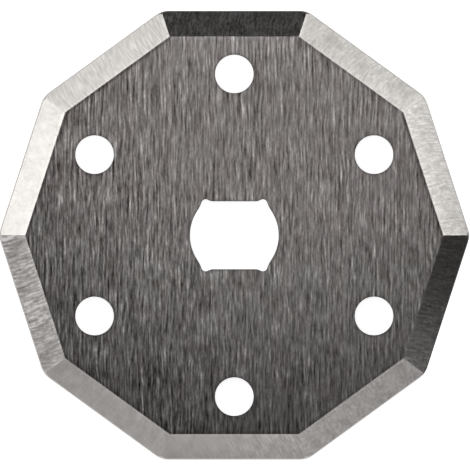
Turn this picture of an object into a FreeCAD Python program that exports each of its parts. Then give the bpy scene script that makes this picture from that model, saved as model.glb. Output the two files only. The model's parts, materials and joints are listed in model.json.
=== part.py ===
# Ten-sided blade of a rotary cutter.
#
# The blade is one flat plate of hardened steel. Ten straight facets are ground on its front side only,
# so that the cutting edge lies in the plane of the flat back, which runs against the cutter's fixed
# counter-blade. The facets meet in mitres at the ten points. The points are rounded, and a narrow honed
# strip, steeper than the facets, follows the whole rounded outline and makes the edge itself. It is
# broader at the points, because the rounding takes away the thin end of the mitre there.
#
# In the middle is the drive opening, a round hole with two flats that turn the blade, and a small relief
# in each of its four corners. A ring of six round holes takes the pins of the blade's carrier. All rims are
# lightly broken on both faces.
#
# Frame: millimetres. The origin is the centre of the drive opening, on the flat back face. +Z points out
# of the front face, and +X at one of the ten points, along the flats of the drive opening.

import FreeCAD, Part
import math
import os

# Plate and cutting edge
side_count = 10
cutting_diameter = 45.0  # circle that the ten rounded points sweep as the blade turns
plate_thickness = 1.0
nose_radius = 2.1  # rounding of each point, seen from the front
bevel_angle = 21.4  # slope of the ground facets, in degrees from the back face
hone_angle = 35.0  # slope of the honed strip, in degrees from the back face
hone_width = 0.10  # breadth of the honed strip along a straight side, seen from the front

# Drive opening
opening_diameter = 8.5
opening_across_flats = 6.5
relief_radius = 0.42
relief_depth = 0.20  # how far a relief reaches past the flat beside it
flat_blend_radius = 1.0  # soft turn from the flat into the relief
round_blend_radius = 3.0  # softer turn from the relief into the round side

# Ring of pin holes
pin_hole_count = 6
pin_hole_diameter = 3.7
pin_circle_diameter = 30.9
first_pin_angle = 90.0  # place of the first hole, in degrees from +X

# Both faces
rim_break = 0.05  # small bevel that takes the burr off the drive opening and the pin holes

# Worked out from the sizes above
half_corner = math.pi / side_count
sharp_radius = cutting_diameter / 2 + nose_radius * (1 / math.cos(half_corner) - 1)
edge_apothem = sharp_radius * math.cos(half_corner)
bevel_slope = math.tan(math.radians(bevel_angle))
hone_slope = math.tan(math.radians(hone_angle))
hone_height = hone_width * hone_slope


def point(x, y, z=0.0):
    return FreeCAD.Vector(x, y, z)


def polar(radius, angle, z=0.0):
    return point(radius * math.cos(angle), radius * math.sin(angle), z)


def toward(start, target, distance):
    """Point at a distance from the start, on the way to the target."""
    way = target - start
    return start + way * (distance / way.Length)


def meeting_point(first, first_distance, second, second_distance):
    """Point at two given distances from two points, to the right of the way from first to second."""
    gap = (second - first).Length
    along = (first_distance**2 - second_distance**2 + gap**2) / (2 * gap)
    aside = math.sqrt(first_distance**2 - along**2)
    forward = (second - first) * (1 / gap)
    return first + forward * along + point(forward.y, -forward.x) * aside


def line(start, end):
    return Part.LineSegment(start, end).toShape()


def arc(centre, start, end):
    """Arc of less than half a turn about a centre."""
    middle = centre + (start - centre) + (end - centre)
    return Part.Arc(start, toward(centre, middle, (start - centre).Length), end).toShape()


def bevel_apothem(z):
    """Distance from the axis to a ground facet at height z."""
    return edge_apothem - hone_width - (z - hone_height) / bevel_slope


def hone_top_at_points():
    """Height at which the honed strip ends on the mitre of a point, where it reaches highest."""
    corner = math.cos(half_corner)
    set_back = nose_radius * (1 - corner)
    rise = hone_height + (set_back - hone_width) * bevel_slope
    return hone_slope * rise / (hone_slope - corner * bevel_slope)


def sharp_polygon(apothem, z):
    """Corners of the plate's section with sharp points."""
    radius = apothem / math.cos(half_corner)
    return [polar(radius, 2 * half_corner * i, z) for i in range(side_count)]


def ground_plate(z_low, z_high):
    """Slice of the plate with its ground facets, made of flat faces that meet in sharp mitres."""
    low = sharp_polygon(bevel_apothem(z_low), z_low)
    high = sharp_polygon(bevel_apothem(z_high), z_high)
    faces = [Part.Face(Part.makePolygon(ring + ring[:1])) for ring in (low, high)]
    for i in range(side_count):
        following = (i + 1) % side_count
        facet = [low[i], low[following], high[following], high[i], low[i]]
        faces.append(Part.Face(Part.makePolygon(facet)))
    return Part.makeSolid(Part.makeShell(faces))


def rounded_outline(z):
    """Outline of the honed strip at height z: straight sides joined by arcs at the points."""
    radius = nose_radius - z / hone_slope
    centre_radius = sharp_radius - nose_radius / math.cos(half_corner)
    noses = []
    for i in range(side_count):
        angle = 2 * half_corner * i
        centre = polar(centre_radius, angle, z)
        start = centre + polar(radius, angle - half_corner)
        end = centre + polar(radius, angle + half_corner)
        noses.append((centre, start, end))
    edges = []
    for i, (centre, start, end) in enumerate(noses):
        following_start = noses[(i + 1) % side_count][1]
        edges.append(arc(centre, start, end))
        edges.append(line(end, following_start))
    return Part.Wire(edges)


def blade_blank():
    """Ground and honed plate before its holes. The honed outline trims only the lowest slice."""
    split = 2 * hone_top_at_points()
    honed = Part.makeLoft([rounded_outline(0.0), rounded_outline(split)], True, True)
    edge_slice = ground_plate(0.0, split).common(honed)
    return edge_slice.fuse(ground_plate(split, plate_thickness)).removeSplitter()


def opening_quarter():
    """The drive opening's outline from the middle of a flat to the middle of a round side."""
    origin = point(0.0, 0.0)
    round_radius = opening_diameter / 2
    flat = opening_across_flats / 2
    corner_x = math.sqrt(round_radius**2 - flat**2)
    # The relief's circle has its centre below the corner where the round side would meet the flat.
    relief = point(corner_x, flat + relief_depth - relief_radius)
    # The blends' circles lie in the metal and touch the relief: one also the flat, one the round side.
    flat_reach = flat_blend_radius + relief_radius
    aside = math.sqrt(flat_reach**2 - (flat_reach - relief_depth) ** 2)
    flat_blend = point(corner_x - aside, flat + flat_blend_radius)
    round_reach = round_blend_radius + relief_radius
    round_blend = meeting_point(origin, round_radius + round_blend_radius, relief, round_reach)
    flat_end = point(flat_blend.x, flat)
    relief_start = toward(relief, flat_blend, relief_radius)
    relief_end = toward(relief, round_blend, relief_radius)
    round_start = toward(origin, round_blend, round_radius)
    return [
        line(point(0.0, flat), flat_end),
        arc(flat_blend, flat_end, relief_start),
        arc(relief, relief_start, relief_end),
        arc(round_blend, relief_end, round_start),
        arc(origin, round_start, point(round_radius, 0.0)),
    ]


def drive_opening():
    """Round hole with two flats and four corner reliefs, mirrored from one quarter."""
    origin = point(0.0, 0.0)
    right = opening_quarter()
    right += [edge.mirror(origin, point(0.0, 1.0)) for edge in right]
    edges = right + [edge.mirror(origin, point(1.0, 0.0)) for edge in right]
    outline = Part.Wire(Part.__sortEdges__(edges))
    return Part.Face(outline).extrude(point(0.0, 0.0, plate_thickness))


def pin_holes():
    """Ring of round holes."""
    step = 2 * math.pi / pin_hole_count
    holes = []
    for i in range(pin_hole_count):
        centre = polar(pin_circle_diameter / 2, math.radians(first_pin_angle) + step * i)
        holes.append(Part.makeCylinder(pin_hole_diameter / 2, plate_thickness, centre))
    return holes


def rim_edges(plate):
    """Edges where the openings meet the front and back faces."""
    edges = []
    for face in plate.Faces:
        for wire in face.Wires:
            if not wire.isSame(face.OuterWire):
                edges += wire.Edges
    return edges


def blade():
    """The finished blade."""
    plate = blade_blank().cut([drive_opening()] + pin_holes()).removeSplitter()
    return plate.makeChamfer(rim_break, rim_edges(plate))


def write_part():
    os.makedirs("parts", exist_ok=True)
    shape = blade()
    shape.exportStep(os.path.join("parts", "blade.step"))
    box = shape.BoundBox
    bevel_width = edge_apothem - bevel_apothem(plate_thickness)
    print("blade: valid %s, solids %d, faces %d" % (shape.isValid(), len(shape.Solids), len(shape.Faces)))
    print("size %.3f x %.3f x %.3f mm" % (box.XLength, box.YLength, box.ZLength))
    print("volume %.2f mm3, bevel width %.3f mm" % (shape.Volume, bevel_width))


write_part()
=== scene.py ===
# Look of the ten-sided blade of a rotary cutter: ground steel on a pale floor, under soft studio light.
#
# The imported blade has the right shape, so it stays and only gets a better material. One shader covers it,
# and masks tell its surfaces apart: the brushed front and back, the ten ground facets with their marks
# across the edge, the honed strip, the broken rims and the cut walls of the openings.
#
# Frame: metres, with the origin on the flat back at the centre of the drive opening and +Z out of the
# front. Inside the material lengths are millimetres, because its details are tenths of one. A noise
# pattern is written there as the width, length and seed of its streaks, and a range as its start and end.

import json
import math

import bpy
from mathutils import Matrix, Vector


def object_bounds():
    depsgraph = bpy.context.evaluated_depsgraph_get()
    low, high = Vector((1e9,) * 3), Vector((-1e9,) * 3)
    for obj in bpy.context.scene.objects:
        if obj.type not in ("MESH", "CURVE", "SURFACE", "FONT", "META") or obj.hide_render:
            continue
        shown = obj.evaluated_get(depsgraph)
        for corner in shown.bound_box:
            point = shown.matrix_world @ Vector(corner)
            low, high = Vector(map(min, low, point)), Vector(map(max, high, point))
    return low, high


MM = 0.001

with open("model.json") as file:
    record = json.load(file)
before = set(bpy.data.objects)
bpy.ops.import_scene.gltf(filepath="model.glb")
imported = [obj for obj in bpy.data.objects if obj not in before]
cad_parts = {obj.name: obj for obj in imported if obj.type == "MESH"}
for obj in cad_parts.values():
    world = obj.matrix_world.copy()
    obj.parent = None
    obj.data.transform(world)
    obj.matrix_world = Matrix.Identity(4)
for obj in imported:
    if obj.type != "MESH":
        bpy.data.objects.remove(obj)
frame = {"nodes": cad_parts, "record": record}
packed_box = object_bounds()
mounts = {mount["name"]: mount for mount in frame["record"]["mounts"]}

# Blade, in millimetres and degrees
side_count = 10
facet_turn = 360 / side_count
facet_width = 2.473  # of a ground facet with its honed strip, seen from the front
edge_apothem = packed_box[1][1] / MM  # from the axis to the straight cutting edge
front_apothem = edge_apothem - facet_width  # from the axis to the line where a facet meets the front face
facet_middle = (front_apothem + edge_apothem) / 2
mitre_slope = math.tan(math.radians(facet_turn / 2))

# Openings, in millimetres and degrees
pins = mounts["pin_holes"]["dims"]
pin_turn = 360 / pins["count"]
first_pin_angle = 90.0
opening_diameter = 8.5
opening_across_flats = 6.5

# Height of the surface normal's tip, from which on a surface is a broken rim, honed strip, ground facet or
# flat face. Below the first height it is a cut wall
surface_limits = (0.5, 0.76, 0.87, 0.97)

# Steel colours, as seen under a light of strength 1
wall_colour = (0.200, 0.190, 0.183)
# The broken rims' dark colour is painted shade, for the dark outline round the openings
rim_colour = (0.130, 0.124, 0.120)
honed_colour = (0.680, 0.660, 0.635)
ground_colour = (0.640, 0.618, 0.590)
warm_brushed_colour = (0.298, 0.271, 0.2635)
cool_brushed_colour = (0.2825, 0.273, 0.263)

# Roughness of the surfaces
wall_roughness = 0.45
rim_roughness = 0.40
honed_roughness = 0.25
ground_roughness = 0.275
brushed_roughness = 0.25  # the least there is
brushed_roughness_rise = 0.18  # from the pattern's lowest places to its highest

# Layers of the brushing: pattern, its weight, and its weight on the far side of the blade
brushed_layers = (
    ((0.19, 1.05, 11.0), 0.30, 0.24),
    ((0.21, 2.50, 23.0), 0.35, 0.35),
    ((0.24, 9.50, 31.0), 0.20, 0.26),
)
far_side = (2.0, 9.0)  # way along Y on which the weights change
bend_pattern = (2.5, 4.0, 3.0)  # sways the layers
bend_reach = 0.35
grain_pattern = (0.14, 0.3, 71.0)
grain_weight = 0.08
brushed_cloud_pattern = (1.6, 5.0, 37.0)
brushed_cloud_weight = 0.06
faint_share = 0.85  # what is left of the faint streaks
strong_rise = 12.0  # how fast the streaks grow as they get stronger

# Hairlines that cross the brushing: lean in degrees and seed
bright_hairlines = (4.0, 43.0)
dark_hairlines = (-3.0, 47.0)
hairline_width = 0.16
hairline_length = 5.0
hairline_range = (0.68, 0.80)
hairline_strength = 0.07

# Contrast of the brushing, in its calmest and liveliest patches, and its change towards the near left side
lively_pattern = (3.0, 5.0, 61.0)
lively_range = (0.30, 0.70)
brushed_contrast = (6.6, 8.2)
coarse_range = (-2.0, -9.0)  # way along X on which the contrast changes
coarse_lean = 0.3  # shift of that way with Y
coarse_change = (0.92, 1.17)

# Painted light and shade of the brushed front. Lines are written as their middle and half width, past the
# line where a facet meets the front face
# Painted line where a facet meets the front face: painted shade beside most facets, a painted highlight
# beside the one at 90 degrees
painted_edge_line = (-0.14, 0.24)
# Painted highlight: band on the front face beside a facet, in which it is painted brighter
painted_light_band = (-2.6, -1.0)
# Painted shade on the front round the openings: how dark, and over what distance it fades
rim_shade = 0.80
rim_shade_range = (0.10, 0.28)  # distance from the edge of an opening

# Hue of the brushing, from 0 for warm to 1 for cool
hue_pattern = (1.8, 2.8, 53.0)
hue_range = (0.35, 0.65)
# The far side's warmer hue and the near side's cooler one are a painted tint of light
far_hue = (0.0, 0.6)
near_hue = (0.4, 1.0)
near_side = (4.0, -8.0)  # way along Y on which the hue changes
paling = -0.45  # power of the brightness that its colour follows: bright streaks have less of it

# Patterns of the ground facets: width and length, what the seed grows by from facet to facet, and what is
# added to it
long_mark_pattern = (0.19, 1.10, 5.7, 0.0)
short_mark_pattern = (0.24, 0.30, 5.7, 1.7)
ground_cloud_pattern = (0.9, 1.1, 5.7, 2.9)
speck_pattern = (0.19, 0.60, 5.7, 4.3)
patch_pattern = (2.2, 4.0, 3.1, 0.0)
mark_curve = 0.07
speck_range = (0.55, 0.66)
patch_range = (0.3, 0.7)
patch_change = (0.8, 1.2)  # change of the marks' strength from patch to patch
ground_contrast = 2.7
# Painted highlight on the facets, just past the line where they meet the front face: middle and half width,
# and strength
painted_highlight_line = (0.12, 0.15)
painted_highlight_strength = 0.12
# Painted highlight along the mitres
mitre_highlight_line = (0.10, 0.30)  # past the mitre, towards the facet's middle

# Relief
relief_depth = 0.02
mark_depth = 0.6  # of the grinding marks, as a share of the brushing's
mark_depth_limit = 0.5
speck_depth = 1.2

# Grinding of each facet, listed by the facet's direction in degrees from +X: strength of the marks, strength
# of the clouds among them, how far the marks lean from square to the edge, and how their strength changes
# from the facet's clockwise end to the other (for both, 0.5 means not at all)
facet_grinding = {
    18: (0.50, 0.35, 0.60, 0.50),
    54: (0.36, 0.60, 0.57, 0.50),
    90: (1.20, 1.00, 0.60, 0.50),
    126: (0.31, 0.15, 0.54, 0.50),
    162: (0.13, 0.28, 0.50, 0.50),
    198: (0.98, 0.80, 0.50, 0.40),
    234: (0.17, 0.40, 0.52, 0.50),
    270: (0.26, 0.36, 0.25, 0.95),
    306: (0.36, 0.50, 0.57, 0.50),
    342: (0.80, 0.35, 0.46, 0.40),
}

# Grain of each facet: how far its marks are drawn out across the edge, and how strong its bright specks are
facet_grain = {
    18: (0.55, 0.00),
    54: (0.50, 0.00),
    90: (0.50, 0.50),
    126: (0.90, 0.00),
    162: (0.05, 0.00),
    198: (0.70, 0.00),
    234: (0.40, 0.00),
    270: (0.60, 0.00),
    306: (0.25, 0.00),
    342: (0.55, 0.15),
}

# Painted light and shade of each facet: how much darker it is painted at the cutting edge (painted shade),
# how bright the painted line on the front face is where it meets the facet (painted shade below 0.5, a
# painted highlight above, 0.5 where it is like the rest of the front), how much brighter its mitres are
# painted (painted highlight), and how much brighter the front face is painted in a band beside it (painted
# highlight)
facet_painted_light = {
    18: (0.20, 0.20, 0.05, 0.00),
    54: (0.05, 0.35, 0.25, 0.00),
    90: (0.00, 0.60, 0.00, 0.12),
    126: (0.05, 0.22, 0.15, 0.00),
    162: (0.04, 0.28, 0.05, 0.00),
    198: (0.12, 0.32, 0.15, 0.00),
    234: (0.00, 0.35, 0.00, 0.00),
    270: (0.15, 0.35, 0.00, 0.00),
    306: (0.04, 0.38, 0.05, 0.00),
    342: (0.00, 0.50, 0.00, 0.00),
}

# Soft lights in a ring round the blade, one for each facet but the one at 342 degrees: direction, strength
# and colour
white = (1.0, 1.0, 1.0)
rosy = (1.0, 0.978, 1.0)
ring_lights = (
    (19.5, 2.26, white),
    (53.3, 2.05, white),
    (94.0, 0.042, rosy),
    (126.0, 2.32, white),
    (162.8, 3.25, white),
    (197.7, 1.17, rosy),
    (235.5, 1.016, rosy),
    (271.0, 1.025, rosy),
    (304.1, 0.967, rosy),
)
ring_elevation = 42.0
ring_distance = 0.25
ring_width = 0.055
ring_height = 0.060

# Soft light above the far side of the blade, which fades over the brushed front
top_light_place = (0.0035, 0.0175, 0.080)
top_light_width = 0.070
top_light_depth = 0.062
top_light_strength = 0.81

# Small light low on the right, which fades along the dark facet beside it
side_light_place = (0.0464, -0.0253, 0.034)
side_light_width = 0.012
side_light_height = 0.018
side_light_strength = 0.28
side_light_target = (0.018, -0.010, 0.0)

# Pale walls under a dark ceiling, with two gaps that leave two facets dark. Ranges are heights of a
# direction's tip, and cosines of the angle away from a gap
wall_level = 0.85
ceiling_level = 0.03
wall_top = (0.30, 0.56)
dark_gaps = (90, 342)  # directions in degrees from +X
gap_range = (0.88, 0.96)
gap_level = 0.05  # as a share of the wall's

# Floor, in metres
floor_reach = 2.0
floor_drop = 0.02 * MM  # below the blade's back
floor_grey = 0.8
floor_glow = 0.85  # adds up to white with the light that falls on it

# Camera, straight above the blade
image_size = 470
pixels_per_mm = 10.433
camera_height = 0.6
camera_range = (0.01, 10.0)
sensor_width = 36.0
picture_offset = (0.7, 0.3)  # how far the blade lies left of and below the middle of the picture, in pixels


class Nodes:
    """Adds nodes to a tree. Each short call gives back the socket that carries its result."""

    def __init__(self, tree):
        self.tree = tree
        self.tree.nodes.clear()

    def feed(self, socket, value):
        if isinstance(value, bpy.types.NodeSocket):
            self.tree.links.new(value, socket)
        else:
            socket.default_value = value

    def add(self, kind, inputs=None, **settings):
        node = self.tree.nodes.new(kind)
        for name, value in settings.items():
            setattr(node, name, value)
        for name, value in (inputs or {}).items():
            self.feed(node.inputs[name], value)
        return node

    def math(self, operation, *values, clamp=False):
        node = self.add("ShaderNodeMath", operation=operation, use_clamp=clamp)
        for socket, value in zip(node.inputs, values):
            self.feed(socket, value)
        return node.outputs[0]

    def mix(self, factor, low, high):
        node = self.add("ShaderNodeMix", data_type="FLOAT")
        self.feed(node.inputs[0], factor)
        self.feed(node.inputs[2], low)
        self.feed(node.inputs[3], high)
        return node.outputs[0]

    def mix_colour(self, factor, low, high, blend="MIX"):
        node = self.add("ShaderNodeMix", data_type="RGBA", blend_type=blend)
        self.feed(node.inputs[0], factor)
        self.feed(node.inputs[6], low)
        self.feed(node.inputs[7], high)
        return node.outputs[2]

    def toned(self, colour, brightness):
        """The colour times a brightness."""
        return self.mix_colour(1.0, colour, brightness, "MULTIPLY")

    def vector(self, x, y, z=0.0):
        return self.add("ShaderNodeCombineXYZ", {"X": x, "Y": y, "Z": z}).outputs[0]

    def parts(self, vector):
        return self.add("ShaderNodeSeparateXYZ", {"Vector": vector}).outputs

    def noise(self, vector, detail):
        return self.add("ShaderNodeTexNoise", {"Vector": vector, "Scale": 1.0, "Detail": detail}).outputs[0]

    def ramp(self, value, start, end):
        """Rises smoothly from 0 at the start to 1 at the end."""
        inputs = {"Value": value, "From Min": start, "From Max": end}
        return self.add("ShaderNodeMapRange", inputs, interpolation_type="SMOOTHSTEP").outputs[0]

    def line(self, value, middle, half_width):
        """1 at the middle, falling to 0 at half a width on both sides."""
        away = self.math("ABSOLUTE", self.math("SUBTRACT", value, middle))
        return self.math("SUBTRACT", 1.0, self.math("DIVIDE", away, half_width), clamp=True)


def rgba(colour):
    return (*colour, 1.0)


def streaks(nodes, across, along, width, length, seed, detail=1.0):
    """Noise drawn out along one direction. Its mean is 0.5."""
    stretched = nodes.vector(
        nodes.math("DIVIDE", across, width), nodes.math("DIVIDE", along, length), seed
    )
    return nodes.noise(stretched, detail)


def facet_streaks(nodes, number, across, along, width, length, seed_step, seed_start):
    """Noise on a facet, another one for each facet number."""
    seed = nodes.math("MULTIPLY_ADD", number, seed_step, seed_start)
    return streaks(nodes, across, along, width, length, seed)


def swing(nodes, pattern, contrast):
    """Brightness factor of about 1 that follows a pattern. It never falls to 0."""
    power = 4.0
    lowest = 0.3
    away = nodes.math("SUBTRACT", pattern, 0.5)
    base = nodes.math("MULTIPLY_ADD", away, nodes.math("DIVIDE", contrast, power), 1.0)
    return nodes.math("POWER", nodes.math("MAXIMUM", base, lowest), power)


def peaked(nodes, pattern):
    """The same pattern with its strong streaks made stronger and its faint ones fainter."""
    away = nodes.math("SUBTRACT", pattern, 0.5)
    square = nodes.math("MULTIPLY", away, away)
    share = nodes.math("MULTIPLY_ADD", square, strong_rise, faint_share)
    return nodes.math("MULTIPLY_ADD", share, away, 0.5)


def signed(nodes, value):
    """Turns a list's value from 0 to 1 into one from -1 to 1."""
    return nodes.math("MULTIPLY_ADD", value, 2.0, -1.0)


def facet_place(nodes, x, y):
    """Facet number and the place on it: distance from the axis square to the edge, and way along it."""
    turn = math.radians(facet_turn)
    angle = nodes.math("ARCTAN2", y, x)
    number = nodes.math("FLOOR", nodes.math("DIVIDE", angle, turn))
    middle = nodes.math("MULTIPLY", nodes.math("ADD", number, 0.5), turn)
    cosine = nodes.math("COSINE", middle)
    sine = nodes.math("SINE", middle)
    out = nodes.math("ADD", nodes.math("MULTIPLY", x, cosine), nodes.math("MULTIPLY", y, sine))
    side = nodes.math("SUBTRACT", nodes.math("MULTIPLY", y, cosine), nodes.math("MULTIPLY", x, sine))
    return number, out, side


def look_up(nodes, values, number):
    """The four values of the facet with that number, out of a list by direction. Short rows end in zeros."""
    steps = nodes.add("ShaderNodeValToRGB")
    # A new ramp already has two stops
    ramp = steps.color_ramp
    ramp.interpolation = "CONSTANT"
    lowest = -side_count // 2
    for i in range(side_count):
        direction = ((lowest + i + 0.5) * facet_turn) % 360
        stop = ramp.elements[i] if i < 2 else ramp.elements.new(i / side_count)
        stop.position = i / side_count
        stop.color = (*values[round(direction)], 0.0, 0.0)[:4]
    place = nodes.math("DIVIDE", nodes.math("SUBTRACT", number, lowest - 0.5), side_count)
    nodes.feed(steps.inputs[0], place)
    first, second, third = nodes.add("ShaderNodeSeparateColor", {"Color": steps.outputs[0]}).outputs
    return first, second, third, steps.outputs[1]


def past_openings(nodes, x, y):
    """Distance from the edge of the nearest opening. The drive opening is a round hole with two flats."""
    from_axis = nodes.math("SQRT", nodes.math("MULTIPLY_ADD", x, x, nodes.math("MULTIPLY", y, y)))
    past_round = nodes.math("SUBTRACT", from_axis, opening_diameter / 2)
    past_flat = nodes.math("SUBTRACT", nodes.math("ABSOLUTE", y), opening_across_flats / 2)
    past_opening = nodes.math("MAXIMUM", past_round, past_flat)
    # Every pin hole is turned onto the first one
    turn = math.radians(pin_turn)
    angle = nodes.math("SUBTRACT", nodes.math("ARCTAN2", y, x), math.radians(first_pin_angle))
    turns = nodes.math("DIVIDE", angle, turn)
    apart = nodes.math("MULTIPLY", nodes.math("SUBTRACT", turns, nodes.math("ROUND", turns)), turn)
    forward = nodes.math("MULTIPLY", from_axis, nodes.math("COSINE", apart))
    forward = nodes.math("SUBTRACT", forward, pins["pcd_mm"] / 2)
    aside = nodes.math("MULTIPLY", from_axis, nodes.math("SINE", apart))
    square = nodes.math("MULTIPLY_ADD", forward, forward, nodes.math("MULTIPLY", aside, aside))
    past_pin = nodes.math("SUBTRACT", nodes.math("SQRT", square), pins["hole_r_mm"])
    return nodes.math("MINIMUM", past_opening, past_pin)


def brushed_pattern(nodes, x, y):
    """Brushing along Y: crowded streaks, short and long, fine grain, and a little cloudiness."""
    bend = streaks(nodes, x, y, *bend_pattern)
    bent_x = nodes.math("ADD", x, nodes.math("MULTIPLY", bend, bend_reach))
    far = nodes.ramp(y, *far_side)
    total = 0.0
    for pattern, weight, far_weight in brushed_layers:
        layer = streaks(nodes, bent_x, y, *pattern)
        total = nodes.math("MULTIPLY_ADD", layer, nodes.mix(far, weight, far_weight), total)
    grain = streaks(nodes, x, y, *grain_pattern, detail=0.0)
    total = nodes.math("MULTIPLY_ADD", grain, grain_weight, total)
    clouds = streaks(nodes, x, y, *brushed_cloud_pattern)
    return nodes.math("MULTIPLY_ADD", clouds, brushed_cloud_weight, total)


def hairlines(nodes, x, y, lean, seed):
    """Sparse hairlines that lean a little away from the brushing. 1 on a hairline, 0 elsewhere."""
    turn = math.radians(lean)
    across = nodes.math("MULTIPLY_ADD", x, math.cos(turn), nodes.math("MULTIPLY", y, math.sin(turn)))
    lines = streaks(nodes, across, y, hairline_width, hairline_length, seed, detail=0.0)
    return nodes.ramp(lines, *hairline_range)


def brushing(nodes, x, y):
    """Height of the brushing, about 0.5, and its brightness, about 1."""
    height = peaked(nodes, brushed_pattern(nodes, x, y))
    crossing = nodes.math(
        "SUBTRACT", hairlines(nodes, x, y, *bright_hairlines), hairlines(nodes, x, y, *dark_hairlines)
    )
    height = nodes.math("MULTIPLY_ADD", crossing, hairline_strength, height)
    lively = nodes.ramp(streaks(nodes, x, y, *lively_pattern), *lively_range)
    coarse = nodes.ramp(nodes.math("MULTIPLY_ADD", y, coarse_lean, x), *coarse_range)
    contrast = nodes.math(
        "MULTIPLY", nodes.mix(lively, *brushed_contrast), nodes.mix(coarse, *coarse_change)
    )
    return height, swing(nodes, height, contrast)


def shaded_brushing(nodes, tone, x, y, past_front, on_front, painted_edge_tone, glow):
    """The brushing's brightness with its painted light and shade: a painted highlight band beside the
    facets, a painted shade or highlight line along them, and painted shade round the openings.
    """
    # Painted highlight in a band beside the facet
    in_band = nodes.math("MULTIPLY", nodes.ramp(past_front, *painted_light_band), on_front)
    tone = nodes.math("MULTIPLY", tone, nodes.math("MULTIPLY_ADD", in_band, glow, 1.0))
    # Painted shade or painted highlight on a line beside the facet
    on_painted_edge_line = nodes.math("MULTIPLY", nodes.line(past_front, *painted_edge_line), on_front)
    tone = nodes.math("MULTIPLY", tone, nodes.mix(on_painted_edge_line, 1.0, nodes.math("MULTIPLY", painted_edge_tone, 2.0)))
    # Painted shade round the openings
    off_rim = nodes.ramp(past_openings(nodes, x, y), *rim_shade_range)
    return nodes.math("MULTIPLY", tone, nodes.mix(off_rim, rim_shade, 1.0))


def brushed_colour(nodes, x, y, tone):
    """Warm and cool patches, with a painted tint of light that makes the far side warmer and the near side
    cooler, and less colour in the bright streaks.
    """
    hue = nodes.ramp(streaks(nodes, x, y, *hue_pattern), *hue_range)
    near = nodes.ramp(y, *near_side)
    hue = nodes.mix(near, nodes.mix(hue, *far_hue), nodes.mix(hue, *near_hue))
    colour = nodes.mix_colour(hue, rgba(warm_brushed_colour), rgba(cool_brushed_colour))
    inputs = {"Saturation": nodes.math("POWER", tone, paling), "Color": nodes.toned(colour, tone)}
    return nodes.add("ShaderNodeHueSaturation", inputs).outputs[0]


def grinding(nodes, number, out, side):
    """Height of the wheel's marks on the facets, 0 or more, and their brightness, about 1."""
    strength, cloudiness, lean, drift = look_up(nodes, facet_grinding, number)
    streakiness, speckle = look_up(nodes, facet_grain, number)[:2]

    # Marks run out across the facet, slightly curved, and lean by their own angle
    past_middle = nodes.math("SUBTRACT", out, facet_middle)
    slant = nodes.math("MULTIPLY_ADD", past_middle, mark_curve, signed(nodes, lean))
    bent = nodes.math("ADD", side, nodes.math("MULTIPLY", slant, past_middle))
    long_marks = facet_streaks(nodes, number, bent, out, *long_mark_pattern)
    short_marks = facet_streaks(nodes, number, bent, out, *short_mark_pattern)
    marks = nodes.mix(streakiness, short_marks, long_marks)

    # Their strength changes from patch to patch, and along the facet
    patches = nodes.ramp(facet_streaks(nodes, number, side, out, *patch_pattern), *patch_range)
    strength = nodes.math("MULTIPLY", strength, nodes.mix(patches, *patch_change))
    way_along = nodes.math("DIVIDE", side, facet_middle * mitre_slope)
    change = nodes.math("MULTIPLY_ADD", signed(nodes, drift), way_along, 1.0)
    strength = nodes.math("MULTIPLY", strength, change)

    tone = swing(nodes, marks, nodes.math("MULTIPLY", strength, ground_contrast))
    clouds = facet_streaks(nodes, number, side, out, *ground_cloud_pattern)
    tone = nodes.math("MULTIPLY", tone, swing(nodes, clouds, cloudiness))
    specks = nodes.ramp(facet_streaks(nodes, number, bent, out, *speck_pattern), *speck_range)
    tone = nodes.math("MULTIPLY_ADD", specks, speckle, tone)

    depth = nodes.math("MINIMUM", strength, mark_depth_limit)
    depth = nodes.math("MULTIPLY_ADD", speckle, speck_depth, depth)
    height = nodes.math("MULTIPLY", marks, nodes.math("MULTIPLY", depth, mark_depth))
    return height, tone


def shaded_grinding(nodes, tone, out, side, past_front, painted_outward_shade, mitre_highlight):
    """The facets' brightness with painted light and shade: painted darker towards the cutting edge, with
    painted highlight lines beside the front face and along the mitres.
    """
    # Painted shade: darker towards the cutting edge and lighter towards the front face
    way_out = nodes.ramp(past_front, 0.0, facet_width)
    painted_outward_shading = nodes.math("MULTIPLY", painted_outward_shade, nodes.math("SUBTRACT", way_out, 0.5))
    tone = nodes.math("MULTIPLY", tone, nodes.math("SUBTRACT", 1.0, painted_outward_shading))
    # Painted highlight just past the front face
    on_line = nodes.line(past_front, *painted_highlight_line)
    tone = nodes.math("MULTIPLY_ADD", on_line, painted_highlight_strength, tone)
    # Painted highlight along the mitres
    mitre_side = nodes.math("MULTIPLY", out, mitre_slope)
    past_mitre = nodes.math("SUBTRACT", mitre_side, nodes.math("ABSOLUTE", side))
    return nodes.math("MULTIPLY_ADD", nodes.line(past_mitre, *mitre_highlight_line), mitre_highlight, tone)


def by_surface(blend, masks, values):
    """Each surface's own value. The values go from the cut walls to the flat faces."""
    chosen = values[0]
    for mask, value in zip(masks, values[1:]):
        chosen = blend(mask, chosen, value)
    return chosen


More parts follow.
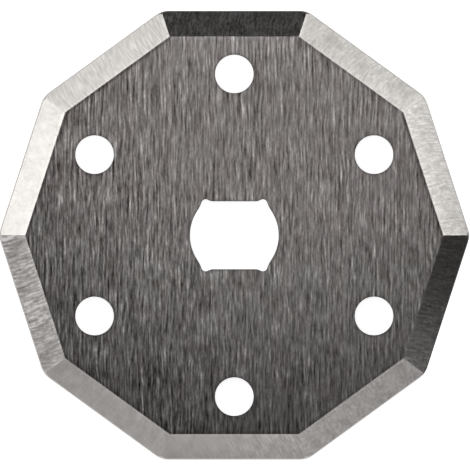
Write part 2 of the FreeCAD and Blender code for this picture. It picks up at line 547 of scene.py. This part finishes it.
def blade_steel():
    """The blade's one material."""
    material = bpy.data.materials.new("ground_steel_finish")
    material.use_nodes = True
    nodes = Nodes(material.node_tree)
    source = nodes.add("ShaderNodeTexCoord")
    place = nodes.add("ShaderNodeVectorMath", operation="SCALE")
    nodes.feed(place.inputs["Vector"], source.outputs["Object"])
    nodes.feed(place.inputs["Scale"], 1 / MM)
    x, y = nodes.parts(place.outputs[0])[:2]
    upward = nodes.parts(source.outputs["Normal"])[2]
    on_front = nodes.math("GREATER_THAN", upward, 0.0)
    levelness = nodes.math("ABSOLUTE", upward)
    masks = [nodes.math("GREATER_THAN", levelness, limit) for limit in surface_limits]
    on_facet, on_flat = masks[-2:]
    number, out, side = facet_place(nodes, x, y)
    past_front = nodes.math("SUBTRACT", out, front_apothem)
    # Painted light and shade of the facet and of the front face beside it
    painted_outward_shade, painted_edge_tone, mitre_highlight, glow = look_up(nodes, facet_painted_light, number)

    brushed_height, brushed_tone = brushing(nodes, x, y)
    brushed_tone = shaded_brushing(nodes, brushed_tone, x, y, past_front, on_front, painted_edge_tone, glow)
    ground_height, ground_tone = grinding(nodes, number, out, side)
    ground_tone = shaded_grinding(nodes, ground_tone, out, side, past_front, painted_outward_shade, mitre_highlight)

    colour = by_surface(nodes.mix_colour, masks, (
        rgba(wall_colour),
        rgba(rim_colour),
        rgba(honed_colour),
        nodes.toned(rgba(ground_colour), ground_tone),
        brushed_colour(nodes, x, y, brushed_tone),
    ))
    roughness = by_surface(nodes.mix, masks, (
        wall_roughness,
        rim_roughness,
        honed_roughness,
        ground_roughness,
        nodes.math("MULTIPLY_ADD", brushed_height, brushed_roughness_rise, brushed_roughness),
    ))
    height = nodes.mix(on_flat, nodes.math("MULTIPLY", ground_height, on_facet), brushed_height)
    bump = nodes.add("ShaderNodeBump", {"Strength": 1.0, "Distance": relief_depth * MM, "Height": height})

    shader = nodes.add("ShaderNodeBsdfPrincipled")
    nodes.feed(shader.inputs["Metallic"], 1.0)
    nodes.feed(shader.inputs["Base Color"], colour)
    nodes.feed(shader.inputs["Roughness"], roughness)
    nodes.feed(shader.inputs["Normal"], bump.outputs[0])
    output = nodes.add("ShaderNodeOutputMaterial")
    nodes.feed(output.inputs["Surface"], shader.outputs[0])
    return material


def floor_material():
    """Pale floor that shows white and keeps the blade's shadow. From below it isn't seen."""
    material = bpy.data.materials.new("pale_floor")
    material.use_nodes = True
    nodes = Nodes(material.node_tree)
    rays = nodes.add("ShaderNodeLightPath").outputs
    seen = nodes.math("MAXIMUM", rays["Is Camera Ray"], rays["Is Glossy Ray"])
    seen = nodes.math("MAXIMUM", seen, rays["Is Transmission Ray"])
    paint = nodes.add("ShaderNodeBsdfDiffuse", {"Color": (floor_grey, floor_grey, floor_grey, 1.0)})
    glow = nodes.add("ShaderNodeEmission", {"Color": rgba(white)})
    nodes.feed(glow.inputs["Strength"], nodes.math("MULTIPLY", seen, floor_glow))
    both = nodes.add("ShaderNodeAddShader")
    nodes.feed(both.inputs[0], paint.outputs[0])
    nodes.feed(both.inputs[1], glow.outputs[0])
    clear = nodes.add("ShaderNodeBsdfTransparent")
    underside = nodes.add("ShaderNodeNewGeometry").outputs["Backfacing"]
    choice = nodes.add("ShaderNodeMixShader")
    nodes.feed(choice.inputs[0], underside)
    nodes.feed(choice.inputs[1], both.outputs[0])
    nodes.feed(choice.inputs[2], clear.outputs[0])
    output = nodes.add("ShaderNodeOutputMaterial")
    nodes.feed(output.inputs["Surface"], choice.outputs[0])
    return material


def floor():
    """Flat floor just under the blade's back."""
    reach = floor_reach
    corners = [(-reach, -reach), (reach, -reach), (reach, reach), (-reach, reach)]
    mesh = bpy.data.meshes.new("floor")
    mesh.from_pydata([(x, y, -floor_drop) for x, y in corners], [], [(0, 1, 2, 3)])
    mesh.materials.append(floor_material())
    piece = bpy.data.objects.new("floor", mesh)
    bpy.context.scene.collection.objects.link(piece)


def soft_light(name, place, width, height, strength, colour=white, target=(0.0, 0.0, 0.0)):
    """Oval lamp that faces the target. A strength of 1 is as bright as a white surface."""
    lamp = bpy.data.lights.new(name, "AREA")
    lamp.shape = "ELLIPSE"
    lamp.size = width
    lamp.size_y = height
    area = math.pi / 4 * width * height
    lamp.energy = strength * math.pi * area
    lamp.color = colour
    holder = bpy.data.objects.new(name, lamp)
    holder.location = place
    way = Vector(target) - Vector(place)
    holder.rotation_euler = way.to_track_quat("-Z", "Y").to_euler()
    holder.visible_camera = False
    bpy.context.scene.collection.objects.link(holder)


def lights():
    """Ring of soft lights, one above the blade, and a small one low on the right."""
    rise = math.radians(ring_elevation)
    for direction, strength, colour in ring_lights:
        turn = math.radians(direction)
        place = (
            ring_distance * math.cos(rise) * math.cos(turn),
            ring_distance * math.cos(rise) * math.sin(turn),
            ring_distance * math.sin(rise),
        )
        soft_light("ring_light_%d" % direction, place, ring_width, ring_height, strength, colour)
    soft_light("top_light", top_light_place, top_light_width, top_light_depth, top_light_strength,
               target=(top_light_place[0], top_light_place[1], 0.0))
    soft_light("side_light", side_light_place, side_light_width, side_light_height, side_light_strength,
               target=side_light_target)


def surroundings():
    """Pale walls with dark gaps, under a dark ceiling."""
    world = bpy.data.worlds.new("studio")
    bpy.context.scene.world = world
    world.use_nodes = True
    nodes = Nodes(world.node_tree)
    x, y, rise = nodes.parts(nodes.add("ShaderNodeTexCoord").outputs["Generated"])
    level = nodes.mix(nodes.ramp(rise, *wall_top), wall_level, ceiling_level)
    angle = nodes.math("ARCTAN2", y, x)
    for direction in dark_gaps:
        away = nodes.math("COSINE", nodes.math("SUBTRACT", angle, math.radians(direction)))
        dark = nodes.math("MULTIPLY", level, gap_level)
        level = nodes.mix(nodes.ramp(away, *gap_range), level, dark)
    background = nodes.add("ShaderNodeBackground", {"Color": rgba(white)})
    nodes.feed(background.inputs["Strength"], level)
    output = nodes.add("ShaderNodeOutputWorld")
    nodes.feed(output.inputs["Surface"], background.outputs[0])


def camera():
    """Long lens straight above, so that the picture takes in what the photo does."""
    picture_width = image_size / pixels_per_mm * MM
    eye = bpy.data.cameras.new("camera")
    eye.sensor_width = sensor_width
    eye.lens = sensor_width * camera_height / picture_width
    eye.clip_start, eye.clip_end = camera_range
    holder = bpy.data.objects.new("camera", eye)
    aside = [pixels / pixels_per_mm * MM for pixels in picture_offset]
    holder.location = (aside[0], aside[1], camera_height)
    bpy.context.scene.collection.objects.link(holder)
    bpy.context.scene.camera = holder


frame["nodes"]["blade"].material_slots[0].material = blade_steel()
floor()
lights()
surroundings()
camera()
bpy.context.scene.view_settings.view_transform = "Standard"
